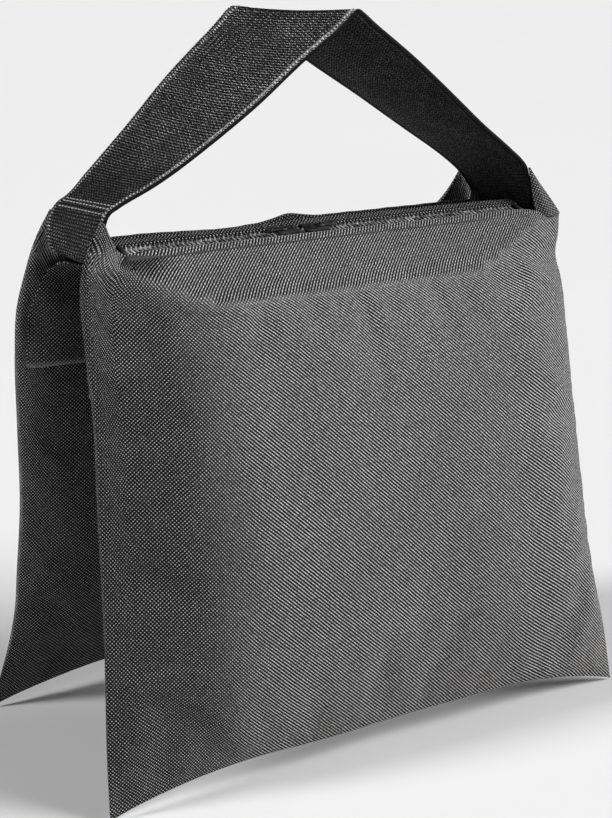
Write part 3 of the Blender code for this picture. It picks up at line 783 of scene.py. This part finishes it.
def strap_loop():
    stations = np.array(STRAP_STATIONS, float)
    middle = stations.mean(axis=1)
    knots = np.concatenate([[0], np.cumsum(np.linalg.norm(np.diff(middle, axis=0), axis=1))])
    count = int(knots[-1] / STRAP_STEP)
    s = np.linspace(0, knots[-1], count + 1)[:-1]
    near, far = spline(knots, stations[:, 0], s), spline(knots, stations[:, 1], s)
    half = np.array(STRAP_ACROSS)
    across = np.concatenate([half, (2 * STRAP_HALF - half)[::-1][1:]]) / (2 * STRAP_HALF)
    near3 = np.stack([near[:, 0], np.full(count, -STRAP_HALF), near[:, 1]], axis=1)
    far3 = np.stack([far[:, 0], np.full(count, STRAP_HALF), far[:, 1]], axis=1)
    # the selvages wander a little
    for edge, phase in ((near3, 0.0), (far3, 1.7)):
        edge[:, 1] += 0.35 * np.sin(s / 19.0 + phase) + 0.2 * np.sin(s / 7.3 + phase)
    grid = near3[:, None] * (1 - across)[None, :, None] + far3[:, None] * across[None, :, None]
    tangent = np.roll(grid, -1, axis=0) - np.roll(grid, 1, axis=0)
    side = (far3 - near3)[:, None] + 0 * grid
    normal = np.cross(tangent, side)
    normal /= np.linalg.norm(normal, axis=2)[:, :, None]
    on_handle = np.clip((grid[:, :, 2] - 262) / 25, 0, 1)
    cup = -1.6 * on_handle * np.sin(pi * across)[None, :]
    edge_distance = np.minimum(across, 1 - across) * 2 * STRAP_HALF
    selvage = 0.30 * bell(edge_distance, 2.0, 0.35) - 0.30 * bell(edge_distance, 1.35, 0.35)
    ribs = (0.12 + 0.14 * (1 - on_handle.mean(axis=1)[:, None])) * np.sin(2 * pi * s / RIB_PITCH)[:, None] \
        * np.clip((edge_distance - 2.4) / 0.8, 0, 1)[None]
    inward = 0.9 * np.clip((grid[:, :, 2] - 240) / 15, 0, 1)
    grid = grid + normal * (cup + selvage[None] + ribs - inward)[:, :, None]
    # painted highlight: a light dotted line along the near selvage, strongest on the handle
    edge_line = bell(edge_distance, 2.0, 0.26)
    near_edge = edge_line * (across < 0.5) + 0.08 * edge_line * (across > 0.5)
    edge_lightening = np.broadcast_to(0.75 * near_edge[None], grid.shape[:2]) * (0.25 + 0.75 * on_handle)
    places = np.stack([np.broadcast_to((across * 2 * STRAP_HALF)[None], grid.shape[:2]),
                       np.broadcast_to(s[:, None], grid.shape[:2]), edge_lightening], axis=2)
    return grid, places, knots[-1]


def build_strap():
    grid, places, length = strap_loop()
    rows, columns = grid.shape[:2]
    faces = grid_faces(rows, columns)
    faces += [((rows - 1) * columns + j, (rows - 1) * columns + j + 1, j + 1, j) for j in range(columns - 1)]
    # one face of the strap takes the shaded copy of the webbing (painted shade), the thickened other face the lit
    # copy with painted glints
    strap = mesh_piece("strap_webbing", grid, faces, WEBBING_SHADED_COPY, places)
    strap.data.materials.append(WEBBING_LIT_COPY)
    thicken(strap, 1.7).modifiers["Thickness"].material_offset = 1
    applied(strap)
    strap.data.shade_smooth()
    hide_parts("saddle_webbing", "handle_webbing")
    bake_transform(strap)
    return strap


STRAP = build_strap()


# ---------------------------------------------------------------- stitches

def tube(points, radius, sides=6, taper=None):
    """Points and faces of a round bar through the given points, in millimetres."""
    points = np.asarray(points, float)
    count = len(points)
    tangent = np.gradient(points, axis=0)
    tangent /= np.linalg.norm(tangent, axis=1)[:, None]
    start = Z_AXIS if abs(tangent[0][2]) < 0.9 else X_AXIS
    first = np.cross(tangent, start)
    first /= np.linalg.norm(first, axis=1)[:, None]
    second = np.cross(tangent, first)
    radii = np.full(count, radius) if taper is None else radius * np.asarray(taper)
    angles = np.linspace(0, 2 * pi, sides, endpoint=False)
    rings = points[:, None] + radii[:, None, None] * (first[:, None] * np.cos(angles)[None, :, None]
                                                      + second[:, None] * np.sin(angles)[None, :, None])
    faces = []
    for i in range(count - 1):
        for j in range(sides):
            k = (j + 1) % sides
            faces.append((i * sides + j, i * sides + k, (i + 1) * sides + k, (i + 1) * sides + j))
    faces += [tuple(range(sides))[::-1], tuple((count - 1) * sides + j for j in range(sides))]
    return rings.reshape(-1, 3), faces


def gather(parts):
    """Joins (points, faces) parts in one list of points and one of faces."""
    points, faces, offset = [], [], 0
    for part_points, part_faces in parts:
        points.append(part_points)
        faces += [tuple(offset + i for i in face) for face in part_faces]
        offset += len(part_points)
    return np.concatenate(points), faces


def surface_of(*objects):
    """A tree of the pieces' final surfaces, in millimetres."""
    graph = bpy.context.evaluated_depsgraph_get()
    points, faces, offset = [], [], 0
    for obj in objects:
        mesh = obj.evaluated_get(graph).to_mesh()
        points += [v.co / MM for v in mesh.vertices]
        faces += [tuple(offset + i for i in p.vertices) for p in mesh.polygons]
        offset += len(mesh.vertices)
        obj.evaluated_get(graph).to_mesh_clear()
    return BVHTree.FromPolygons(points, faces)


def stitch_row(path, tree, length=2.6, gap=0.8, radius=0.28, lift=0.12, facing=None):
    """Stitches along a path, lying on a surface: each rises out of the cloth and dips back in."""
    path = np.asarray(path, float)
    run = np.concatenate([[0], np.cumsum(np.linalg.norm(np.diff(path, axis=0), axis=1))])
    parts = []
    for k in range(int(run[-1] // (length + gap))):
        begin = k * (length + gap) + gap / 2
        at = begin + np.linspace(0, length, 5)
        points = np.stack([np.interp(at, run, path[:, axis]) for axis in range(3)], axis=1)
        raised = []
        for point, dip in zip(points, (-0.30, 0.12, 0.2, 0.12, -0.30)):
            if tree is None:
                raised.append(point + (lift + dip) * np.asarray(facing))
                continue
            found, normal, _, _ = tree.find_nearest(Vector(point))
            if facing is not None and normal.dot(Vector(facing)) < 0:
                normal = -normal
            raised.append(np.array(found) + (lift + dip) * np.array(normal))
        parts.append(tube(raised, radius, 5))
    return parts


def thread_piece(name, parts, body=None, blend=None, replaced=(), material=None):
    points, faces = gather(parts)
    obj = mesh_piece(name, points, faces, material or THREAD)
    if replaced:
        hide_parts(*replaced)
    if blend:
        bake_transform(obj)
    else:
        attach(obj, body)
    return obj


def build_hem_stitches():
    for side, pouch in POUCHES.items():
        tree = surface_of(pouch)
        sign = SIDE_SIGN[side]
        hem = HEM_Z[side] + 1.9
        path = [(x, sign * 28.9, hem) for x in np.linspace(-103, 103, 160)]
        thread_piece(side + "_hem_stitches", stitch_row(path, tree, 2.9, 0.5, 0.30, 0.05), "saddle")


build_hem_stitches()


def build_crease_stitches():
    """Rows of thread across the strap where its ends are tacked to the corners, in the brighter thread copy as a
    painted highlight.
    """
    tree = surface_of(STRAP)
    rows = {"left": ((-112.6, 259.9, -114.0, 258.4), (-110.6, 261.0, -112.0, 259.7),
                     (-114.9, 257.9, -116.6, 256.2)),
            "right": ((112.3, 262.9, 108.6, 256.2), (110.9, 264.4, 106.8, 257.7),
                      (114.3, 259.2, 112.0, 252.8))}
    for end, lines in rows.items():
        parts = []
        for x0, z0, x1, z1 in lines:
            path = [(x0 + (x1 - x0) * t, -23.6 + 47.2 * t, z0 + (z1 - z0) * t)
                    for t in np.linspace(0, 1, 60)]
            outside = (-0.55, 0, 0.83) if end == "left" else (0.55, 0, 0.83)
            parts += stitch_row(path, tree, 2.3, 0.9, 0.30, 0.10, outside)
        thread_piece(end + "_crease_stitches", parts,
                     blend=("saddle", "handle", *HANDLE_BLEND.values()),
                     replaced=(end + "_crease_stitch",), material=THREAD_PAINTED_HIGHLIGHT)


build_crease_stitches()

# ---------------------------------------------------------------- bridge cloth and flaps

FLAP_STITCH_BELOW = (26.5, 35.5)
FLAP_END_BELOW = 57.0


def build_bridge(side):
    """Half of the bridge cloth: from the middle, under the strap, over the edge and down the inner panel."""
    sign = SIDE_SIGN[side]
    tree = surface_of(POUCHES[side])
    rows = []
    for y in np.linspace(0, 21.5, 9):
        rows.append((y, 230.1, 108.0 + 0.3 * y, None))
    rows += [(24.0, 229.2, 116.0, None), (25.8, 227.2, 119.5, None), (27.6, 223.8, 122.0, None)]
    for below in np.linspace(18.5, FLAP_END_BELOW, 14):
        rows.append((None, SWING_Z - below, 123.6 + 5.6 * min(1.0, (below - 14) / 20), below))
    across = np.concatenate([[-1, -0.992, -0.975], np.linspace(-0.95, 0.95, 41), [0.975, 0.992, 1]])
    grid = np.zeros((len(rows), len(across), 3))
    for i, (y, z, half, below) in enumerate(rows):
        for j, share in enumerate(across):
            x = share * half
            if below is None:
                grid[i, j] = (x, sign * y, z)
                continue
            hit, _, _, _ = tree.ray_cast(Vector((x, 0.0, z)), Vector((0, sign, 0)))
            depth = abs(hit.y) if hit is not None else -chord_y(z)
            grid[i, j] = (x, sign * (depth - 1.1), z)
    # the cloth can't turn out past its neighbours where the panel falls away at the sides
    for i, row in enumerate(rows):
        if row[-1] is not None:
            limit = np.median(np.abs(grid[i, 6:-6, 1])) + 9.0
            grid[i, :, 1] = sign * np.minimum(np.abs(grid[i, :, 1]), limit)
    for i in range(9, 13):
        beside = np.abs((grid[i - 1, :, 1] + grid[i + 1, :, 1]) / 2)
        grid[i, :, 1] = sign * (0.5 * np.abs(grid[i, :, 1]) + 0.5 * beside)
    wave = 0.45 * np.sin(across * 21 + 1.0) + 0.3 * np.sin(across * 47)
    share_down = np.clip((np.arange(len(rows)) - 14) / 11.0, 0, 1)
    grid[:, :, 1] -= sign * (share_down[:, None] * (0.5 + wave[None]) * 0.9)
    grid[:, :, 2] += share_down[:, None] * wave[None] * 0.8
    places = flat_places(grid)
    # lighter along the flap's lower edge
    places[-1, :, 2] = 0.6
    # low hatch values darken the bridge cloth, painted shade as on the inner panels
    obj = mesh_piece(side + "_bridge_cloth", grid, grid_faces(*grid.shape[:2]), CLOTH, places,
                     hatch_and_shade=np.full(places.shape, 0.04))
    thicken(subdivide(obj), 0.9)
    replaced = [side + "_bridge_flap"] + (["bridge_panel"] if side == "front" else [])
    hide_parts(*replaced)
    swing = ("saddle", side + "_pouch", (0.0, sign * 0.027, 0.229), (0.0, sign * 0.034, 0.210))
    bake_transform(obj)
    cloth_tree = surface_of(obj)
    for row, below in zip(("upper", "lower"), FLAP_STITCH_BELOW):
        z = SWING_Z - below
        path = []
        for x in np.linspace(-121, 121, 150):
            hit, _, _, _ = cloth_tree.ray_cast(Vector((x, 0.0, z)), Vector((0, sign, 0)))
            path.append((x, hit.y if hit is not None else sign * 34.0, z))
        stitches = stitch_row(path, cloth_tree, 3.2, 1.5, 0.26, 0.05, (0, -sign, 0))
        thread_piece(f"{side}_flap_{row}_stitches", stitches, blend=swing,
                     replaced=(f"{side}_flap_{row}_stitch",))


for side in SIDES:
    build_bridge(side)

# ---------------------------------------------------------------- ears

# Corner cloths drawn up beside the strap's end, each in its own pouch's frame: inner edge, outer edge.
# The rear pouch's frame is turned half a turn.
EARS = {
    "front_right": (
        ((113.6, -25.6, 261.0), (114.8, -26.2, 254.0), (115.6, -27.2, 246.5), (116.6, -29.2, 240.0),
        (118.0, -31.4, 236.8)),
        ((114.4, -25.4, 260.8), (119.0, -25.6, 254.6), (123.6, -26.8, 248.4), (128.4, -28.8, 241.4),
        (130.4, -30.2, 237.4))),
    "rear_left": (
        ((-110.4, -25.8, 257.5), (-111.6, -26.4, 250.5), (-112.4, -27.6, 243.0), (-113.2, -29.4, 236.5),
                   (-114.2, -31.2, 233.2)),
                  ((-111.4, -25.6, 257.3), (-114.6, -25.9, 252.0), (-118.8, -27.2, 245.6), (-123.0, -29.0, 238.8),
                   (-125.6, -30.4, 234.2))),
}


def build_ear(name, inner_edge, outer_edge):
    knots = np.linspace(0, 1, 5)
    t = np.linspace(0, 1, 15)
    inner_line, outer_line = spline(knots, inner_edge, t), spline(knots, outer_edge, t)
    shares = np.linspace(0, 1, 11)
    grid = inner_line[:, None] * (1 - shares)[None, :, None] + outer_line[:, None] * shares[None, :, None]
    swell = 1.7 * np.sin(pi * shares)[None] * np.sin(pi * np.minimum(t, 0.75))[:, None]
    hollow = 1.5 * bell(shares, 0.12, 0.16)[None] * bell(t, 0.85, 0.25)[:, None]
    grid[:, :, 1] -= swell - 1.2 * hollow
    if name == "rear_left":
        grid[:, :, :2] *= -1.0
    ear = mesh_piece(name + "_ear", grid, grid_faces(*grid.shape[:2]), CLOTH, flat_places(grid),
                     hatch_and_shade=np.full(grid.shape, 0.12))
    thicken(subdivide(ear), 0.8)
    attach(ear, "saddle")


for name, (inner_edge, outer_edge) in EARS.items():
    build_ear(name, inner_edge, outer_edge)

# ---------------------------------------------------------------- zips

# Each zip: side of the bag, distance out, height and tilt of its middle
ZIP = {"front": (-1.0, 24.5, 241.5, radians(15.0)), "rear": (1.0, 24.5, 234.8, radians(10.0))}
TOOTH_PITCH = 2.3


def zip_sag(side, x):
    x = np.asarray(x, float)
    if side == "rear":
        return -1.6 * bell(x, -34, 26) + 0.5 * bell(x, 2, 14)
    return -0.5 * bell(x, 112, 25) - 0.4 * bell(x, -112, 20)


def on_zip(side, x, q, h):
    """World place of a point on a zip: along it, across it towards the outside, and above its plane."""
    sign, y, z, tilt = ZIP[side]
    x, q, h = np.broadcast_arrays(np.asarray(x, float), np.asarray(q, float), np.asarray(h, float))
    return np.stack([x, sign * (y + q * cos(tilt) + h * sin(tilt)),
                     z - q * sin(tilt) + h * cos(tilt) + zip_sag(side, x)], axis=-1)


def tooth(side, x, half):
    """One coil loop: from the tape, over the chain's middle and back under, leaning along the zip."""
    q = np.array([3.3, 2.3, 1.2, 0.2, -0.55, -0.75]) * half
    h = np.array([0.25, 0.75, 0.95, 0.95, 0.70, 0.25])
    lean = np.array([0.85, 0.60, 0.30, 0.05, -0.08, -0.10]) * TOOTH_PITCH * 0.9
    return tube(on_zip(side, x + lean, q, h), 0.50, 6, taper=(0.9, 1.0, 1.0, 1.05, 1.1, 0.8))


def build_zip(side):
    for half, edge in ((1, "outer"), (-1, "inner")):
        x = np.linspace(-109, 109, 110)
        q = np.array([0.9, 2.0, 3.2, 4.4, 6.4, 8.9]) * half
        grid = on_zip(side, x[None, :], q[:, None], np.zeros((6, 110)))
        tape = mesh_piece(f"{side}_{edge}_tape", grid, grid_faces(6, 110), TAPE, flat_places(grid))
        applied(thicken(tape, 0.5))
        tape.data.shade_smooth()
        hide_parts(f"{side}_zip_{edge}_tape")
        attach(tape, "saddle")
        # drawn 8 mm wide, which is under the narrowest sheet that can be declared
        shift = 0.0 if half > 0 else TOOTH_PITCH / 2
        parts = [tooth(side, float(at) + shift, half) for at in np.arange(-107, 104.5, TOOTH_PITCH)]
        points, faces = gather(parts)
        coil = mesh_piece(f"{side}_{edge}_coil", points, faces, COIL)
        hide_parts(f"{side}_zip_{edge}_coil")
        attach(coil, "saddle")
        rows = []
        for q_row in (2.6, 3.75):
            path = on_zip(side, np.linspace(-107, 107, 160), q_row * half, 0.45 if q_row < 3 else 0.2)
            rows += stitch_row(path, None, 1.7, 0.6, 0.2, 0.1, (0, 0, 1))
        thread_piece(f"{side}_{edge}_coil_stitches", rows, "saddle")


# Section of the inner band across the zip and above its plane, then the band's lump: height, place, rise
BAND_SECTION = ((-4.0, 0.25), (-3.95, 0.9), (-4.5, 1.35), (-5.6, 1.1), (-6.6, 1.25), (-7.9, 1.5), (-9.0, 1.2),
                (-9.6, 0.2))
BAND_LUMP = {"front": (0.8, -12, 0.0), "rear": (2.0, 2, 2.2)}
BAND_FOOT_Z = 233.7


def build_inner_band(side):
    """The cloth on the zip's inner side: folded over the tape and running down to the saddle strap."""
    x = np.concatenate([[-110.0, -109.2], np.linspace(-107, 107, 72), [109.2, 110.0]])
    sign = SIDE_SIGN[side]
    rows = []
    pucker = 0.28 * np.sin(x * 0.55 + 0.4) + 0.2 * np.sin(x * 0.23)
    height, middle, rise = BAND_LUMP[side]
    lump = height * bell(x, middle, 9) + rise
    for q, h in BAND_SECTION:
        rows.append(on_zip(side, x, q, h + (0.35 * pucker + lump) * min(1.0, (-q - 3.9) / 3.0)))
    top = rows[-1]
    for share in (0.35, 0.7, 1.0):
        row = top.copy()
        row[:, 2] = top[:, 2] * (1 - share) + BAND_FOOT_Z * share
        row[:, 1] = top[:, 1] - sign * 0.8 * share + sign * 0.35 * pucker * sin(pi * share)
        rows.append(row)
    grid = np.array(rows)
    band = mesh_piece(side + "_inner_band", grid, grid_faces(*grid.shape[:2]), CLOTH, flat_places(grid))
    thicken(subdivide(band), 0.8)
    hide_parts(side + "_inner_strip", side + "_zip_inner_hem", side + "_zip_outer_hem")
    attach(band, "saddle")
    tree = surface_of(band)
    path = on_zip(side, np.linspace(-104, 104, 160), -5.6, 1.5)
    thread_piece(side + "_inner_hem_stitches", stitch_row(path, tree, 2.5, 1.1, 0.22, 0.0), "saddle")


def plate(outline, low, high, bevel=0.25):
    """A flat plate from an outline, with softened edges, as (points, faces) in its own frame."""
    bm = bmesh.new()
    ring = [bm.verts.new((x, y, low)) for x, y in outline]
    face = bm.faces.new(ring)
    made = bmesh.ops.extrude_face_region(bm, geom=[face])
    raised = [v for v in made["geom"] if isinstance(v, bmesh.types.BMVert)]
    bmesh.ops.translate(bm, vec=(0, 0, high - low), verts=raised)
    bmesh.ops.recalc_face_normals(bm, faces=bm.faces)
    edges = [e for e in bm.edges if e.calc_face_angle(0) > 0.6]
    bmesh.ops.bevel(bm, geom=edges, offset=bevel, segments=2, profile=0.6, affect="EDGES")
    points = np.array([v.co for v in bm.verts])
    bm.verts.index_update()
    faces = [tuple(v.index for v in f.verts) for f in bm.faces]
    bm.free()
    return points, faces


def slider_parts():
    """A coil slider in its own frame: x towards the open end, y across the zip, z up."""
    edge = [(6.0, 3.6), (3.6, 3.8), (0.4, 3.5), (-3.4, 3.1), (-6.0, 2.9)]
    body = edge + [(x, -y) for x, y in edge[::-1]] + [(6.3, -1.4), (4.9, 0.0), (6.3, 1.4)]
    parts = [plate(body, 1.25, 2.25), plate(body, -1.9, -1.0)]
    for sign in (1, -1):
        rail = [(x, sign * y) for x, y in ((-6.0, 3.0), (-6.0, 2.4), (-3.4, 2.6), (0.4, 3.0), (0.4, 3.6),
                                           (-3.4, 3.3))]
        parts.append(plate(rail[::sign], 0.2, 1.9, 0.2))
    parts.append(plate([(4.6, 0.7), (2.2, 0.7), (2.2, -0.7), (4.6, -0.7)], -1.2, 1.4, 0.15))
    rise = [(-3.2, 0, 2.0), (-3.1, 0, 2.9), (-2.2, 0, 3.45)]
    crown = rise + [(0, 0, 3.6)] + [(-x, y, z) for x, y, z in rise[::-1]]
    parts.append(tube(crown, 0.55, 8))
    return parts


def tab_parts():
    """A pull tab in the slider's frame: a ring round the crown and a rounded plate along the zip."""
    outline = [(-9.4 + 1.9 * cos(a), 1.9 * sin(a)) for a in np.linspace(pi / 2, 3 * pi / 2, 9)]
    outline += [(-3.4, -1.4), (-2.4, -1.6), (-2.4, 1.6), (-3.4, 1.4)]
    parts = [plate(outline, 2.55, 3.25, 0.2)]
    ring = [(-2.6 + 1.9 * cos(a), 1.5 * sin(a), 2.95) for a in np.linspace(-2.4, 2.4, 14)]
    parts.append(tube(ring, 0.42, 6))
    ridge = [(-8.9 + 1.0 * cos(a), 1.0 * sin(a), 3.25) for a in np.linspace(0, 2 * pi, 13)]
    parts.append(tube(ridge, 0.18, 5))
    return parts


def build_slider(side, end):
    slider, tab = f"{side}_{end}_slider", f"{side}_{end}_pull_tab"
    low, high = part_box(slider)
    middle = (low.x + high.x) / 2 / MM
    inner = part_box(side + "_left_slider")[1].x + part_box(side + "_right_slider")[0].x
    meeting = inner / 2 / MM
    away = 1.0 if middle > meeting else -1.0
    for name, parts in ((slider, slider_parts()), (tab, tab_parts())):
        points, faces = gather(parts)
        # the open end points to the meeting place, the tab away from it
        placed = on_zip(side, middle - away * points[:, 0], points[:, 1] * away, points[:, 2])
        obj = mesh_piece(name + "_metal", placed, faces, METAL)
        face_outwards(obj)
        obj.data.set_sharp_from_angle(angle=SHARP_ANGLE)
        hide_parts(name)
        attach(obj, name)


def build_stops(side):
    for end in ENDS:
        points, faces = plate([(-1.0, 3.9), (-1.0, -3.9), (1.0, -3.9), (1.0, 3.9)], -0.4, 1.6, 0.4)
        name = f"{side}_zip_{end}_stop"
        low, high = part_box(name)
        middle = (low.x + high.x) / 2 / MM
        placed = on_zip(side, middle + points[:, 0], points[:, 1], points[:, 2])
        obj = mesh_piece(name + "_thread", placed, faces, THREAD)
        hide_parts(name)
        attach(obj, "saddle")


for side in SIDES:
    build_zip(side)
    build_inner_band(side)
    build_stops(side)
    for end in ENDS:
        build_slider(side, end)


# ---------------------------------------------------------------- fill

def fill_piece(node, material, crumple, scale, longest_edge=0.006):
    """Liner or sand: the CAD solid cut finely and crumpled inwards by noise, so that it stays inside."""
    source = bpy.data.objects.get(node)
    mesh = source.data.copy()
    obj = link(bpy.data.objects.new(node + "_body", mesh))
    mesh.transform(source.matrix_world)
    mesh.materials.clear()
    mesh.materials.append(material)
    bm = bmesh.new()
    bm.from_mesh(mesh)
    bmesh.ops.remove_doubles(bm, verts=bm.verts, dist=1e-5)
    long_edges = [e for e in bm.edges if e.calc_length() > longest_edge]
    bmesh.ops.subdivide_edges(bm, edges=long_edges, cuts=2, use_grid_fill=True)
    bmesh.ops.triangulate(bm, faces=[f for f in bm.faces if len(f.verts) > 4])
    bmesh.ops.smooth_vert(bm, verts=bm.verts, factor=0.4, use_axis_x=True, use_axis_y=True, use_axis_z=True)
    bm.normal_update()
    for vert in bm.verts:
        wrinkle = noise.fractal(vert.co * scale, 0.8, 2.0, 4, noise_basis="PERLIN_ORIGINAL")
        vert.co -= vert.normal * crumple * (0.6 + wrinkle) * MM
    bm.to_mesh(mesh)
    bm.free()
    mesh.shade_smooth()
    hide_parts(node)
    return obj


for side in SIDES:
    pouch_body = side + "_pouch"
    sand = fill_piece(side + "_sand_fill", SAND, 0.9, 60.0)
    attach(sand, pouch_body)
    liner = fill_piece(side + "_liner_bag", FILM, 0.25, 110.0)
    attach(liner, pouch_body)
    bpy.data.objects[side + "_liner_seal"].material_slots[0].material = HOOKS
